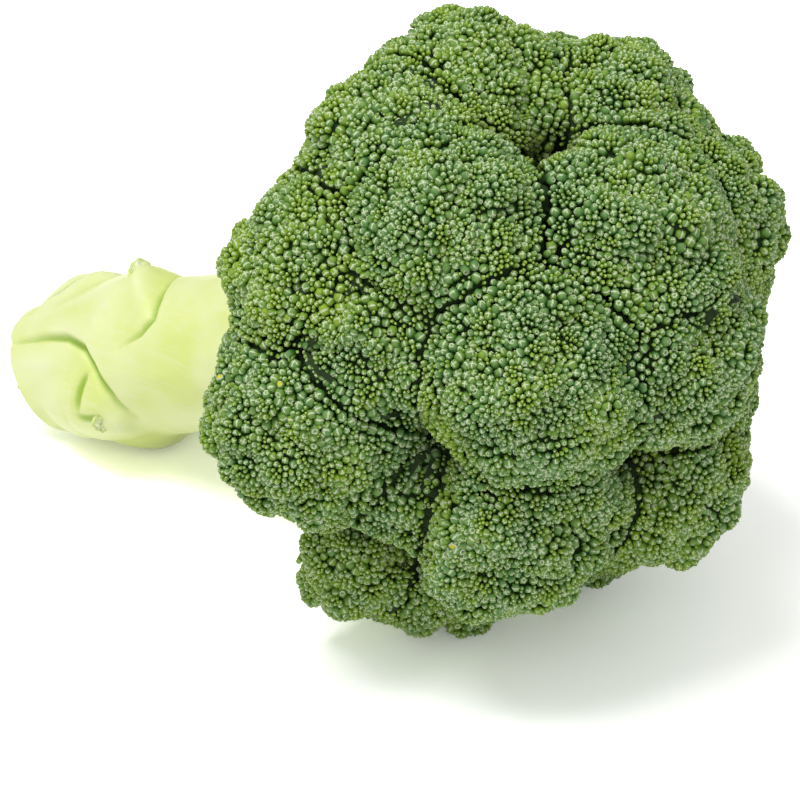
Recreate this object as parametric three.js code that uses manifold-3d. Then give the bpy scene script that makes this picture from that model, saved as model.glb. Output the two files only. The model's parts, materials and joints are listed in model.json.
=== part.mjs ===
// Broccoli head, cut from the plant and lying on its side: one thick stalk with the cut bases of
// its leaves, branches that leave the stalk one after another, and on the end of each branch a
// floret, the domed cluster of closed flower buds.
//
// The plant is built upright, with the centre of its crown at the origin and its tip towards +Z.
// A group then lays it down, tip towards -Y, until its lowest florets and its stalk carry it.
// Everything is in millimetres.

import * as THREE from 'three';
import { mergeVertices } from 'three/addons/utils/BufferGeometryUtils.js';
import Module from 'manifold-3d';

const wasm = await Module();
wasm.setup();

// ---- Driving dimensions --------------------------------------------------------------------

const LYING_TILT = 23.9;          // degrees that the tip points above the surface it lies on
const TOUCHING_GAP = 0.3;         // air between two pieces that grow against each other

const STALK_LENGTH = 142;         // crown centre to the middle of the cut
const STALK_RADIUS = 18.6;
const CUT_RADIUS = 16;            // the stalk is a little slimmer where it was cut
const CUT_TAPER = 26;             // length over which it slims
const CUT_SLOPE = 0.3;            // the knife went across at a slant: rise over run
const CUT_SHORT_SIDE = -100;      // direction round the stalk in which the slanted cut is shortest
const SLANT_FADE = 30;            // length of the lowest part of the stalk that takes up the slant
const HEAD_RADIUS = 22;           // widest place of the stalk, where the branches leave it
const HEAD_HEIGHT = -34;          // height of that widest place
const HEAD_FLARE = 36;            // length over which the stalk widens to it
const HEAD_TOP = 4;               // the stalk ends here, under the innermost florets
const STALK_RINGS = 26;
const STALK_SIDES = 30;

const STUB_LENGTH = 5;            // half of it is sunk in the swollen base of the leaf
const STUB_OVAL = 1.2;
const STUB_LEAN = 0.45;           // radians that a stub leans from straight out towards the tip

const BRANCH_THICKNESS = 0.32;    // radius of a branch against the radius of its floret
const BRANCH_WAIST = 0.3;         // how much of that thickness it loses half-way
const BRANCH_SIDES = 9;
const NECK_DEPTH = 0.95;          // centre of a floret to its neck, against its radius
const NECK_HOLLOW = 0.22;         // how far the underside draws in on its way to the neck
const BUNCH_HEIGHT = 0.045;       // low swellings of a floret, against its radius
const PRESSING_REACH = 4;         // florets closer than this press each other flat

const LOWEST_FORK = -66;          // height at which the outermost branches start in the stalk
const HIGHEST_FORK = -18;         // height at which the innermost branches start
const INNER_TIP = 68;             // florets nearer the plant's tip than this are innermost
const OUTER_TIP = 112;            // florets further from it than this are outermost

const RADIANS = Math.PI / 180;

// The florets, each given by the direction in which it grows and by its size:
// tip = angle between the plant's tip and the floret, turn = direction round the stalk,
// reach = crown centre to floret centre, radius = half its height, spread = width over height.
const FLORETS = [
  { name: 'tip_front', tip: 37, turn: -175, reach: 54, radius: 20, spread: 1.2 },
  { name: 'tip_back', tip: 14, turn: 92, reach: 53, radius: 20, spread: 1.28 },
  { name: 'tip_low', tip: 11, turn: -95, reach: 56, radius: 16.5, spread: 1.3 },
  { name: 'tip_right', tip: 42, turn: 9, reach: 55, radius: 18, spread: 1.2 },
  { name: 'tip_side', tip: 42, turn: -42, reach: 49, radius: 15, spread: 1.3 },
  { name: 'upper_left', tip: 54, turn: 133, reach: 54, radius: 18, spread: 1.2 },
  { name: 'upper_right', tip: 54, turn: 49, reach: 50.5, radius: 21.5, spread: 1.14 },
  { name: 'valley_left', tip: 70, turn: 163, reach: 49, radius: 15, spread: 1.3 },
  { name: 'top_left', tip: 77, turn: 113, reach: 53, radius: 17.5, spread: 1.12 },
  { name: 'top', tip: 73, turn: 83, reach: 51.5, radius: 20, spread: 1.12 },
  { name: 'left_high', tip: 90, turn: 145, reach: 50, radius: 18, spread: 1.14 },
  { name: 'left_low', tip: 97, turn: -179, reach: 47.5, radius: 24.5, spread: 1.08 },
  { name: 'front_low', tip: 66, turn: -132, reach: 50, radius: 21, spread: 1.2 },
  { name: 'under_right', tip: 57, turn: -77, reach: 52.5, radius: 19.5, spread: 1.16 },
  { name: 'valley_low', tip: 82, turn: -150, reach: 45, radius: 11, spread: 1.45 },
  { name: 'foot_left', tip: 115, turn: -130, reach: 58, radius: 14, spread: 1.15 },
  { name: 'foot_front', tip: 105, turn: -108, reach: 54.5, radius: 15.5, spread: 1.2 },
  { name: 'foot_right', tip: 94, turn: -71, reach: 57.5, radius: 15.5, spread: 1.2 },
  { name: 'right_under', tip: 72, turn: -41, reach: 50, radius: 18, spread: 1.2 },
  { name: 'right', tip: 72, turn: 8, reach: 49, radius: 19.5, spread: 1.22 },
  { name: 'right_high', tip: 87, turn: 46, reach: 50, radius: 19, spread: 1.2 },
  { name: 'rim_right', tip: 106, turn: 18, reach: 50, radius: 17, spread: 1.2 },
  { name: 'rim_right_low', tip: 100, turn: -17, reach: 50, radius: 17, spread: 1.2 },
  { name: 'rim_under', tip: 107, turn: -46, reach: 53, radius: 16, spread: 1.2 },
  { name: 'rim_top', tip: 104, turn: 68, reach: 49, radius: 15, spread: 1.2 },
];

// Cut bases of the leaves: height on the stalk, direction round it, how far the swollen base
// stands out, how far it runs up, down and round the stalk, and the cut stub on top of it.
const LEAF_BASES = [
  { name: 'top', height: -101, turn: 93, rise: 3.4, up: 9, down: 26, round: 42, stub: 4.4 },
  { name: 'front', height: -111, turn: -158, rise: 4.0, up: 10, down: 28, round: 46, stub: 5.4 },
  { name: 'end', height: -124, turn: 62, rise: 4.2, up: 9, down: 18, round: 38, stub: 4.2 },
  { name: 'under', height: -117, turn: -54, rise: 5.6, up: 14, down: 22, round: 92, stub: 4.6 },
  { name: 'right', height: -90, turn: -5, rise: 2.6, up: 9, down: 24, round: 38, stub: 4.2 },
];

// ---- Materials -----------------------------------------------------------------------------

const stalkSkin = new THREE.MeshStandardMaterial({ color: 0xdcec9c, roughness: 0.45, metalness: 0 });
const branchSkin = new THREE.MeshStandardMaterial({ color: 0xb9d27a, roughness: 0.5, metalness: 0 });
const budSkin = new THREE.MeshStandardMaterial({ color: 0x4f7a3c, roughness: 0.7, metalness: 0 });

// ---- Directions and small helpers ----------------------------------------------------------

// Unit vector at an angle from the plant's tip and a turn round its stalk, both in degrees.
function direction(tip, turn) {
  const across = Math.sin(tip * RADIANS);
  return new THREE.Vector3(
    across * Math.cos(turn * RADIANS),
    across * Math.sin(turn * RADIANS),
    Math.cos(tip * RADIANS),
  );
}

// 0 below the low end, 1 above the high end, and a smooth ramp between them.
function ramp(value, low, high) {
  const t = THREE.MathUtils.clamp((value - low) / (high - low), 0, 1);
  return t * t * (3 - 2 * t);
}

// Moves every vertex of a geometry to the place that a function gives for it.
function reshape(geometry, place) {
  const position = geometry.attributes.position;
  const point = new THREE.Vector3();
  for (let i = 0; i < position.count; i += 1) {
    point.fromBufferAttribute(position, i);
    place(point);
    position.setXYZ(i, point.x, point.y, point.z);
  }
  geometry.computeVertexNormals();
  return geometry;
}

// A closed three.js geometry as a solid that can be joined and cut.
function toSolid(geometry) {
  const bare = geometry.clone();
  bare.deleteAttribute('normal');
  bare.deleteAttribute('uv');
  const merged = mergeVertices(bare, 1e-4);
  return new wasm.Manifold(new wasm.Mesh({
    numProp: 3,
    vertProperties: new Float32Array(merged.attributes.position.array),
    triVerts: new Uint32Array(merged.index.array),
  }));
}

function toGeometry(solid) {
  const mesh = solid.getMesh();
  const geometry = new THREE.BufferGeometry();
  geometry.setAttribute('position', new THREE.BufferAttribute(mesh.vertProperties, 3));
  geometry.setIndex(new THREE.BufferAttribute(mesh.triVerts, 1));
  geometry.computeVertexNormals();
  return geometry;
}

// ---- The stalk -----------------------------------------------------------------------------

// How far a leaf's swollen base lifts the skin at a place on the stalk.
function leafSwelling(base, height, turn) {
  const along = height - base.height;
  const reach = along > 0 ? base.up : base.down;
  const round = THREE.MathUtils.euclideanModulo(turn - base.turn + 180, 360) - 180;
  const away = Math.hypot(along / reach, round / base.round);
  return base.rise * (1 - ramp(away, 0.1, 1));
}

// Radius of the stalk without its leaf bases: slim at the cut, widest where the branches leave.
function stalkRadius(height) {
  if (height > HEAD_HEIGHT) {
    const t = (height - HEAD_HEIGHT) / (HEAD_TOP - HEAD_HEIGHT);
    return HEAD_RADIUS * Math.sqrt(Math.max(0, 1 - t ** 2.2));
  }
  const flare = ramp(height, HEAD_HEIGHT - HEAD_FLARE, HEAD_HEIGHT);
  const taper = 1 - ramp(height, -STALK_LENGTH, -STALK_LENGTH + CUT_TAPER);
  return STALK_RADIUS + (HEAD_RADIUS - STALK_RADIUS) * flare - (STALK_RADIUS - CUT_RADIUS) * taper;
}

// Slides a place on the stalk's lowest part along it, so that the flat cut ends up at a slant.
function slantShift(point) {
  const shortSide = direction(90, CUT_SHORT_SIDE);
  const fade = 1 - ramp(point.z, -STALK_LENGTH, -STALK_LENGTH + SLANT_FADE);
  return CUT_SLOPE * (point.x * shortSide.x + point.y * shortSide.y) * fade;
}

// The stalk is a turned body whose skin is lifted over the leaf bases and whose lower end is
// slid to the slant of the cut. The branches are cut with a stalk grown by the touching gap.
function stalkGeometry(grow) {
  const bottom = -STALK_LENGTH - grow;
  const top = HEAD_TOP + grow;
  const profile = [new THREE.Vector2(0, bottom)];
  for (let ring = 0; ring < STALK_RINGS; ring += 1) {
    const height = THREE.MathUtils.lerp(bottom, top, ring / STALK_RINGS);
    profile.push(new THREE.Vector2(stalkRadius(height) + grow, height));
  }
  profile.push(new THREE.Vector2(0, top));
  const turned = new THREE.LatheGeometry(profile, STALK_SIDES);
  turned.rotateX(Math.PI / 2);
  return reshape(turned, (point) => {
    const radius = Math.hypot(point.x, point.y);
    const turn = Math.atan2(point.y, point.x) / RADIANS;
    if (radius > 0) {
      const swellings = LEAF_BASES.map((base) => leafSwelling(base, point.z, turn));
      const scale = 1 + Math.max(...swellings) / radius;
      point.x *= scale;
      point.y *= scale;
    }
    point.z += slantShift(point);
  });
}

// ---- The stubs of the leaf stalks ----------------------------------------------------------

// An oval stub that stands out of the swollen base, leans towards the tip and ends in a knife cut.
function stubGeometry(base) {
  const stub = new THREE.CylinderGeometry(0.8 * base.stub, base.stub, STUB_LENGTH, 12, 1);
  stub.scale(STUB_OVAL, 1, 1 / STUB_OVAL);
  // The cylinder's own height becomes the direction out of the stalk, and its width the girth.
  stub.rotateX(Math.PI / 2 + STUB_LEAN);
  const outward = direction(90, base.turn);
  stub.applyMatrix4(new THREE.Matrix4().makeBasis(
    direction(90, base.turn - 90),
    new THREE.Vector3(0, 0, -1),
    outward,
  ));
  const skin = stalkRadius(base.height) + base.rise;
  stub.translate(outward.x * skin, outward.y * skin, base.height);
  return stub;
}

// ---- The branches and the florets ----------------------------------------------------------

// Where a floret sits, which way it grows, and where its branch starts in the stalk.
function layOut(floret) {
  const centre = direction(floret.tip, floret.turn).multiplyScalar(floret.reach);
  const fork = THREE.MathUtils.lerp(HIGHEST_FORK, LOWEST_FORK, ramp(floret.tip, INNER_TIP, OUTER_TIP));
  const start = new THREE.Vector3(0, 0, fork);
  const axis = centre.clone().sub(start).normalize();
  const neck = centre.clone().addScaledVector(axis, -NECK_DEPTH * floret.radius);
  return { ...floret, centre, start, axis, neck, thickness: BRANCH_THICKNESS * floret.radius };
}

// A branch: round, thick at the stalk, slimmer in the middle, and widening again to its floret.
function branchGeometry(placed, grow) {
  const rod = new THREE.CylinderGeometry(1, 1, 1, BRANCH_SIDES, 5);
  const end = placed.neck.clone().addScaledVector(placed.axis, -TOUCHING_GAP);
  const side = new THREE.Vector3(1, 0, 0).cross(placed.axis).normalize().negate();
  const other = side.clone().cross(placed.axis);
  return reshape(rod, (point) => {
    const t = point.y + 0.5;
    const radius = placed.thickness * (1.1 - BRANCH_WAIST * Math.sin(Math.PI * t)) + grow;
    const place = placed.start.clone().lerp(end, t);
    place.addScaledVector(side, point.x * radius);
    place.addScaledVector(other, point.z * radius);
    point.copy(place);
  });
}

// Low swellings all over a floret, one for each of the smaller bunches of buds that it is made of.
function bunches(way, seed) {
  const a = Math.sin(way.x * 5.1 + seed) * Math.sin(way.y * 4.7 + 1.7 * seed);
  const b = Math.sin(way.z * 5.6 + 2.3 * seed) * Math.sin((way.x + way.y) * 3.9 - seed);
  return BUNCH_HEIGHT * (a + b);
}

// A floret: a dome that is wider than it is high, drawn in below to the neck of its branch, and
// pressed flat where it grows against its neighbours.
function floretGeometry(placed, others, seed, grow) {
  const ball = new THREE.IcosahedronGeometry(1, 3);
  const flats = [];
  for (const other of others) {
    const away = other.centre.clone().sub(placed.centre);
    const distance = away.length();
    const own = placed.radius * placed.spread;
    const theirs = other.radius * other.spread;
    if (other !== placed && distance < own + theirs + PRESSING_REACH) {
      const normal = away.divideScalar(distance);
      flats.push({ normal, offset: (distance * own) / (own + theirs) - TOUCHING_GAP / 2 + grow });
    }
  }
  flats.push({ normal: placed.axis.clone().negate(), offset: NECK_DEPTH * placed.radius + grow });
  return reshape(ball, (point) => {
    const way = point.clone().normalize();
    const upward = way.dot(placed.axis);
    const wide = placed.radius * placed.spread;
    let radius = 1 / Math.hypot(upward / placed.radius, Math.sqrt(1 - upward ** 2) / wide);
    radius *= 1 + bunches(way, seed) * ramp(upward, -0.6, 0.2);
    // Below its widest place the floret narrows in a cone to its neck.
    const below = ramp(-upward, 0.15, 0.98);
    radius *= 1 - NECK_HOLLOW * Math.sin(Math.PI * below);
    radius += grow;
    for (const flat of flats) {
      const facing = way.dot(flat.normal);
      if (facing > 0) {
        radius = Math.min(radius, flat.offset / facing);
      }
    }
    point.copy(way.multiplyScalar(radius)).add(placed.centre);
  });
}

// ---- Putting the plant together ------------------------------------------------------------

const plant = new THREE.Group();
plant.rotation.x = (90 - LYING_TILT) * RADIANS;

function addPiece(name, geometry, material) {
  const mesh = new THREE.Mesh(geometry, material);
  mesh.name = name;
  plant.add(mesh);
}

addPiece('stalk', stalkGeometry(0), stalkSkin);

const grownStalk = toSolid(stalkGeometry(TOUCHING_GAP));
for (const base of LEAF_BASES) {
  const stub = toSolid(stubGeometry(base)).subtract(grownStalk);
  addPiece(`leaf_stub_${base.name}`, toGeometry(stub), stalkSkin);
}

const placedFlorets = FLORETS.map(layOut);
placedFlorets.forEach((placed, index) => {
  addPiece(`floret_${placed.name}`, floretGeometry(placed, placedFlorets, index, 0), budSkin);
});

// A branch is cut back where it leaves the stalk, where it runs past a branch made before it and
// where it is pressed by a floret that isn't its own.
let grownWood = grownStalk;
placedFlorets.forEach((placed, index) => {
  let branch = toSolid(branchGeometry(placed, 0)).subtract(grownWood);
  placedFlorets.forEach((other, otherIndex) => {
    if (otherIndex !== index) {
      branch = branch.subtract(
        toSolid(floretGeometry(other, placedFlorets, otherIndex, TOUCHING_GAP)),
      );
    }
  });
  addPiece(`branch_${placed.name}`, toGeometry(branch), branchSkin);
  grownWood = grownWood.add(toSolid(branchGeometry(placed, TOUCHING_GAP)));
});

// The lying plant stands on z = 0, centred over the origin.
const broccoli = new THREE.Group();
broccoli.add(plant);
broccoli.updateMatrixWorld(true);
const box = new THREE.Box3().setFromObject(broccoli, true);
const middle = box.getCenter(new THREE.Vector3());
plant.position.set(-middle.x, -middle.y, -box.min.z);

export default broccoli;
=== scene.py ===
import json
import math

import bmesh
import bpy
import numpy as np
from mathutils import Matrix, Vector
from mathutils.bvhtree import BVHTree

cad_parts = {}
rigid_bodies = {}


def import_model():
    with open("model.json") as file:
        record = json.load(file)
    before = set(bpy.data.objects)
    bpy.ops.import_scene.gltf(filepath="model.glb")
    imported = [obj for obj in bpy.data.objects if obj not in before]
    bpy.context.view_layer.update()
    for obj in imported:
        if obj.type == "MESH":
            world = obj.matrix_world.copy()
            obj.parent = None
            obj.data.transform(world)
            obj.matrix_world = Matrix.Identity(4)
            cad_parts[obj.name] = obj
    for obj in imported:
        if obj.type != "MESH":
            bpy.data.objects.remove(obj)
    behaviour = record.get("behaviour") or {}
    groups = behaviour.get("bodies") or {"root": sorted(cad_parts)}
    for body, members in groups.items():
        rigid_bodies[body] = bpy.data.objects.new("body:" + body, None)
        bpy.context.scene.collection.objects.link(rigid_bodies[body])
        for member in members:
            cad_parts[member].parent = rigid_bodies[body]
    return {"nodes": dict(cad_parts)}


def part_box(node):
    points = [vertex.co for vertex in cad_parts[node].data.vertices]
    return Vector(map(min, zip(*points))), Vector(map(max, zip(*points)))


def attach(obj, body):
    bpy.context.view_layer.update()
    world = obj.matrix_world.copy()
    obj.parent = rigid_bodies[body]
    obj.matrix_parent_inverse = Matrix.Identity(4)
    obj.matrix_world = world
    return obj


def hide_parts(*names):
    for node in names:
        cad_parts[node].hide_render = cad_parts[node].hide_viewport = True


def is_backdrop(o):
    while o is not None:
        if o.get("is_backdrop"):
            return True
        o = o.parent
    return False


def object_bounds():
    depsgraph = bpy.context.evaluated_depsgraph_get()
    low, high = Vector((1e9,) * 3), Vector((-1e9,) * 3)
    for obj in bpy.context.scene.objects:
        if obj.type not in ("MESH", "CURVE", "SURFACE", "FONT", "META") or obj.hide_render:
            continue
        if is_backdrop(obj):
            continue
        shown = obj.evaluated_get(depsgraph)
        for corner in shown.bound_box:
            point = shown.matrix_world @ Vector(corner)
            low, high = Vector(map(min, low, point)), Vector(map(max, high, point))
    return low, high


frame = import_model()
cad_low, cad_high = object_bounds()


# ---- The stalk ---------------------------------------------------------------------------
# The main stem: firm and juicy, with a smooth waxy skin over long fibres, and cut from the
# plant with one slanting stroke of a knife. Every trimmed leaf has left a swollen base on it
# and a crease in the skin where the leaf had clasped the stem.

MM = 0.001
LYING_TILT = math.radians(23.9)     # the plant's tip points this far above the table
STALK_LENGTH = 142.0                # mm, crown centre to the middle of the cut
STALK_RADIUS = 18.6
CUT_RADIUS = 16.0
CUT_TAPER = 26.0
CUT_SLOPE = 0.3
CUT_SHORT_SIDE = math.radians(-100)
SLANT_FADE = 30.0
HEAD_RADIUS = 22.0                  # the widest place, where the branches leave the stalk
HEAD_HEIGHT = -34.0
HEAD_FLARE = 36.0
HEAD_TOP = 4.0

# Leaf bases: height on the stalk, direction round it in degrees, how far the base swells out,
# and how far the swelling runs up, down (mm) and round (degrees).
LEAF_BASES = {
    "top": (-101, 93, 3.4, 9, 26, 42),
    "front": (-111, -158, 4.0, 10, 28, 46),
    "end": (-124, 62, 4.2, 9, 18, 38),
    "under": (-117, -54, 5.6, 14, 22, 92),
    "right": (-90, -5, 2.6, 9, 24, 38),
}

# Creases: the line on the skin as (height, direction), how deep the crease is, how high the
# skin stands on its raised side, how wide that swelling is (mm), and which side is raised.
CREASES = [
    ([(-144, 132), (-129, 134), (-119, 139), (-112, 149), (-108, 166), (-105, 184), (-103, 208)],
     1.5, 2.2, 8.0, -1),
    ([(-95, 73), (-92, 97), (-89.5, 118), (-88.5, 132), (-92, 142), (-99, 151)], 1.7, 1.8, 5.0, -1),
    ([(-138, 104), (-133, 94), (-129, 88), (-126, 79), (-122, 66), (-121, 50)], 1.6, 2.2, 6.0, 1),
    ([(-111, 166), (-113, 173), (-115.5, 184), (-117.5, 193)], 1.4, 1.3, 2.2, 1),
    ([(-119, 195), (-113, 197), (-108.5, 197)], 0.8, 0.4, 2.0, 1),
    ([(-112, -98), (-103, -86), (-99, -62), (-101, -34), (-110, -16), (-124, -8)], 1.0, 1.4, 8.0, -1),
    ([(-96, -36), (-86, -24), (-81, -6), (-84, 14), (-94, 28), (-108, 34)], 0.8, 1.0, 7.0, -1),
]
CREASE_WIDTH = 1.1                  # mm
LIP = 1.4                           # mm from the crease to the crest of its raised side
# Ridges: a line on the skin, and how high and how wide the fold of skin along it is.
RIDGES = [
    ([(-102, 82), (-98.5, 98), (-95, 114), (-92, 131)], 2.2, 3.1),
    ([(-101, 97), (-105, 106), (-113, 108.5), (-119, 111), (-127, 114)], 0.7, 2.4),
    ([(-108, 198), (-106.5, 204), (-107, 213), (-110, 208)], 1.0, 1.5),
    ([(-137, 94), (-131, 83), (-126, 70)], 2.4, 5.5),
    ([(-138, 214), (-124, 218)], 2.0, 9.0),
    ([(-102, 110), (-107, 118), (-104, 124)], 0.35, 1.2),
    ([(-106, 120), (-110, 129), (-107, 136)], 0.3, 1.2),
    ([(-144, 154), (-132, 156), (-120, 158)], 0.35, 2.6),
]

# Unevenness of the skin: how high (mm) and how long its waves are, and their seed.
SKIN_WAVES = [(0.35, 34, 3), (0.12, 9, 4)]
FIBRE_RELIEF = 0.05

growth = np.array([0, -math.cos(LYING_TILT), math.sin(LYING_TILT)])
aside = np.array([1.0, 0.0, 0.0])
above = np.array([0, math.sin(LYING_TILT), math.cos(LYING_TILT)])


def places_of(node_name):
    """A CAD node's vertices in mm and its triangles."""
    mesh = frame["nodes"][node_name].data
    places = np.empty(len(mesh.vertices) * 3)
    mesh.vertices.foreach_get("co", places)
    corners = np.empty(len(mesh.loops), int)
    mesh.loops.foreach_get("vertex_index", corners)
    return places.reshape(-1, 3) / MM, corners.reshape(-1, 3)


stalk_places = places_of("stalk")[0]
crown_centre = stalk_places[np.argmax(stalk_places @ growth)] - HEAD_TOP * growth


def ramp(value, low, high):
    """0 at the low end, 1 at the high end and a smooth ramp between them."""
    t = np.clip((value - low) / (high - low), 0, 1)
    return t * t * (3 - 2 * t)


def uneven(places, size, seed):
    """A gentle unevenness between -1 and 1 whose waves are about that many mm long."""
    draw = np.random.default_rng(seed)
    total = np.zeros(len(places))
    for _ in range(6):
        way = draw.normal(size=places.shape[1])
        way *= 2 * math.pi / size / np.linalg.norm(way) * draw.uniform(0.6, 1.5)
        total += np.sin(places @ way + draw.uniform(0, 6))
    return total / 3.5


def drawn_line(line, height, turn):
    """Each place's distance from a line on the skin in mm, negative on its right, and how far along."""
    mm_round = math.radians(1) * STALK_RADIUS
    nearest, side, run = np.full(height.shape, 1e9), np.zeros(height.shape), np.zeros(height.shape)
    for step, (start, end) in enumerate(zip(line, line[1:])):
        dx, dy = end[0] - start[0], (end[1] - start[1]) * mm_round
        x, y = height - start[0], (turn - start[1]) * mm_round
        t = np.clip((x * dx + y * dy) / (dx * dx + dy * dy), 0, 1)
        away = np.hypot(x - t * dx, y - t * dy)
        closer = away < nearest
        nearest = np.where(closer, away, nearest)
        side = np.where(closer, np.sign(dx * y - dy * x), side)
        run = np.where(closer, (step + t) / (len(line) - 1), run)
    return nearest * side, run


def plain_radius(height):
    """The stalk's radius without its leaf bases."""
    flare = ramp(height, HEAD_HEIGHT - HEAD_FLARE, HEAD_HEIGHT)
    taper = 1 - ramp(height, -STALK_LENGTH, -STALK_LENGTH + CUT_TAPER)
    stem = STALK_RADIUS + (HEAD_RADIUS - STALK_RADIUS) * flare - (STALK_RADIUS - CUT_RADIUS) * taper
    t = np.clip((height - HEAD_HEIGHT) / (HEAD_TOP - HEAD_HEIGHT), 0, 1)
    return np.where(height > HEAD_HEIGHT, HEAD_RADIUS * np.sqrt(1 - t ** 2.2), stem)


def skin(height, turn):
    """Radius of the stalk, and how creased and how raised its skin is, at each place."""
    swelling = np.zeros(height.shape)
    for base_height, base_turn, rise, up, down, around in LEAF_BASES.values():
        along = height - base_height
        turned = (turn - base_turn + 180) % 360 - 180
        away = np.hypot(along / np.where(along > 0, up, down), turned / around)
        swelling = np.maximum(swelling, rise * (1 - ramp(away, 0.1, 1)))
    creased, raised = np.zeros(height.shape), np.zeros(height.shape)
    for line, depth, lip, reach, side in CREASES:
        away, run = drawn_line(line, height, turn)
        fade = np.sin(math.pi * np.clip(run, 0.03, 0.97)) ** 0.5
        dip = np.exp(-(away / CREASE_WIDTH) ** 2) * fade
        inside = np.maximum(away * side, 0)
        bank = np.exp(-inside / reach) * (1 - np.exp(-(inside / LIP) ** 2)) * fade
        swelling += 0.75 * lip * bank - depth * dip
        creased = np.maximum(creased, dip)
        raised = np.maximum(raised, bank)
    for line, rise, wide in RIDGES:
        away, run = drawn_line(line, height, turn)
        fade = np.sin(math.pi * np.clip(run, 0.05, 0.95)) ** 0.5
        fold = np.exp(-(away / wide) ** 2) * fade
        swelling += rise * fold
        raised = np.maximum(raised, 0.8 * fold)
    round_places = np.stack([
        STALK_RADIUS * np.cos(np.radians(turn)), STALK_RADIUS * np.sin(np.radians(turn)), height,
    ], 1)
    bent = sum(high * uneven(round_places, long, seed) for high, long, seed in SKIN_WAVES)
    bent = bent + FIBRE_RELIEF * uneven(np.stack([turn * 1.1, height * 0.06], 1), 2.2, 5)
    return plain_radius(height) + swelling + bent * ramp(-height, -10, 20), creased, raised


def on_stalk(height, turn, radius):
    """Places of the stalk in the row frame (mm). The lowest part is slid to the slant of the cut."""
    across, up = radius * np.cos(np.radians(turn)), radius * np.sin(np.radians(turn))
    fade = 1 - ramp(height, -STALK_LENGTH, -STALK_LENGTH + SLANT_FADE)
    slant = CUT_SLOPE * (across * math.cos(CUT_SHORT_SIDE) + up * math.sin(CUT_SHORT_SIDE)) * fade
    along = (height + slant)[:, None] * growth
    return crown_centre + along + across[:, None] * aside + up[:, None] * above


def new_piece(name, places, faces, finishes=(), finish_of_face=None, edges=()):
    """An object at the origin whose mesh has these places (mm), faces and finishes."""
    mesh = bpy.data.meshes.new(name)
    mesh.from_pydata((np.asarray(places) * MM).tolist(), edges, faces, shade_flat=False)
    for finish in finishes:
        mesh.materials.append(finish)
    if finish_of_face is not None:
        mesh.polygons.foreach_set("material_index", finish_of_face)
    piece = bpy.data.objects.new(name, mesh)
    bpy.context.scene.collection.objects.link(piece)
    return piece


def mark(piece, name, values, kind="FLOAT"):
    """Keeps one number (or one vector) for each vertex of a piece, for its material or its nodes."""
    layer = piece.data.attributes.new(name, kind, "POINT")
    values = np.asarray(values, float).ravel()
    if kind == "INT":
        layer.data.foreach_set("value", values.astype(np.int32))
    else:
        layer.data.foreach_set("vector" if kind == "FLOAT_VECTOR" else "value", values)


def woven(rows, columns):
    """Quads between rows of vertices that each go once round."""
    faces = []
    for row in range(rows - 1):
        for column in range(columns):
            after = (column + 1) % columns
            low, high = row * columns, (row + 1) * columns
            faces.append((low + column, low + after, high + after, high + column))
    return faces


def linear(hex_colour):
    """An sRGB hex colour as the linear colour that a shader takes."""
    channels = [int(hex_colour[i:i + 2], 16) / 255 for i in (1, 3, 5)]
    bent = [c / 12.92 if c <= 0.04045 else ((c + 0.055) / 1.055) ** 2.4 for c in channels]
    return (*bent, 1.0)


def add_node(tree, kind, settings=None, inputs=None):
    """Adds one node: its settings, then each input as a value or as the socket that feeds it."""
    made = tree.nodes.new(kind)
    for name, value in (settings or {}).items():
        setattr(made, name, value)
    for name, value in (inputs or {}).items():
        if isinstance(value, bpy.types.NodeSocket):
            tree.links.new(value, made.inputs[name])
        else:
            made.inputs[name].default_value = value
    return made


def graded(tree, value, stops):
    """The colour that a value gives on a scale of (value, hex colour) stops."""
    scale = add_node(tree, "ShaderNodeValToRGB", None, {"Fac": value})
    stop_list = scale.color_ramp.elements
    for _ in stops[2:]:
        stop_list.new(0.5)
    for stop, (at, colour) in zip(stop_list, stops):
        stop.position = at
        stop.color = linear(colour)
    return scale.outputs["Color"]


def attribute(tree, name):
    """What the mesh holds for each of its vertices under this name."""
    return add_node(tree, "ShaderNodeAttribute", {"attribute_name": name}).outputs["Fac"]


def patches(tree, size, detail):
    """Random patches about this many mm wide, fixed to the object."""
    places = add_node(tree, "ShaderNodeTexCoord").outputs["Object"]
    return add_node(tree, "ShaderNodeTexNoise", None, {
        "Vector": places, "Scale": 1 / (size * MM), "Detail": detail,
    }).outputs["Fac"]


def reckoned(tree, operation, *numbers):
    """One sum, product or power of numbers and sockets."""
    return add_node(
        tree, "ShaderNodeMath", {"operation": operation}, dict(enumerate(numbers))).outputs[0]


def eased(tree, value, low, high, most=1.0):
    """0 up to the low value, the most from the high value on, and a smooth step between them."""
    return add_node(tree, "ShaderNodeMapRange", {"interpolation_type": "SMOOTHSTEP"}, {
        "Value": value, "From Min": low, "From Max": high, "To Max": most,
    }).outputs[0]


def laid_over(tree, share, under, over):
    """One colour over another by a share. Each is a hex colour or comes from a node."""
    under, over = (linear(colour) if isinstance(colour, str) else colour for colour in (under, over))
    return add_node(tree, "ShaderNodeMix", {"data_type": "RGBA"}, {
        0: share, 6: under, 7: over}).outputs[2]


def relief(tree, height, strength, depth):
    """A height turned into a relief this many mm deep."""
    return add_node(tree, "ShaderNodeBump", None, {
        "Height": height, "Strength": strength, "Distance": depth * MM,
    }).outputs[0]


def surfaced(tree, colour, roughness, index, more=None):
    """Ends a finish: its colour, roughness and index of refraction, and what else it has."""
    shader = add_node(tree, "ShaderNodeBsdfPrincipled", None, {
        "Base Color": colour, "Roughness": roughness, "IOR": index, **(more or {}),
    })
    add_node(tree, "ShaderNodeOutputMaterial", None, {"Surface": shader.outputs[0]})


def new_finish(name):
    """An empty node material and its tree."""
    finish = bpy.data.materials.new(name)
    finish.use_nodes = True
    finish.node_tree.nodes.clear()
    return finish, finish.node_tree


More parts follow.
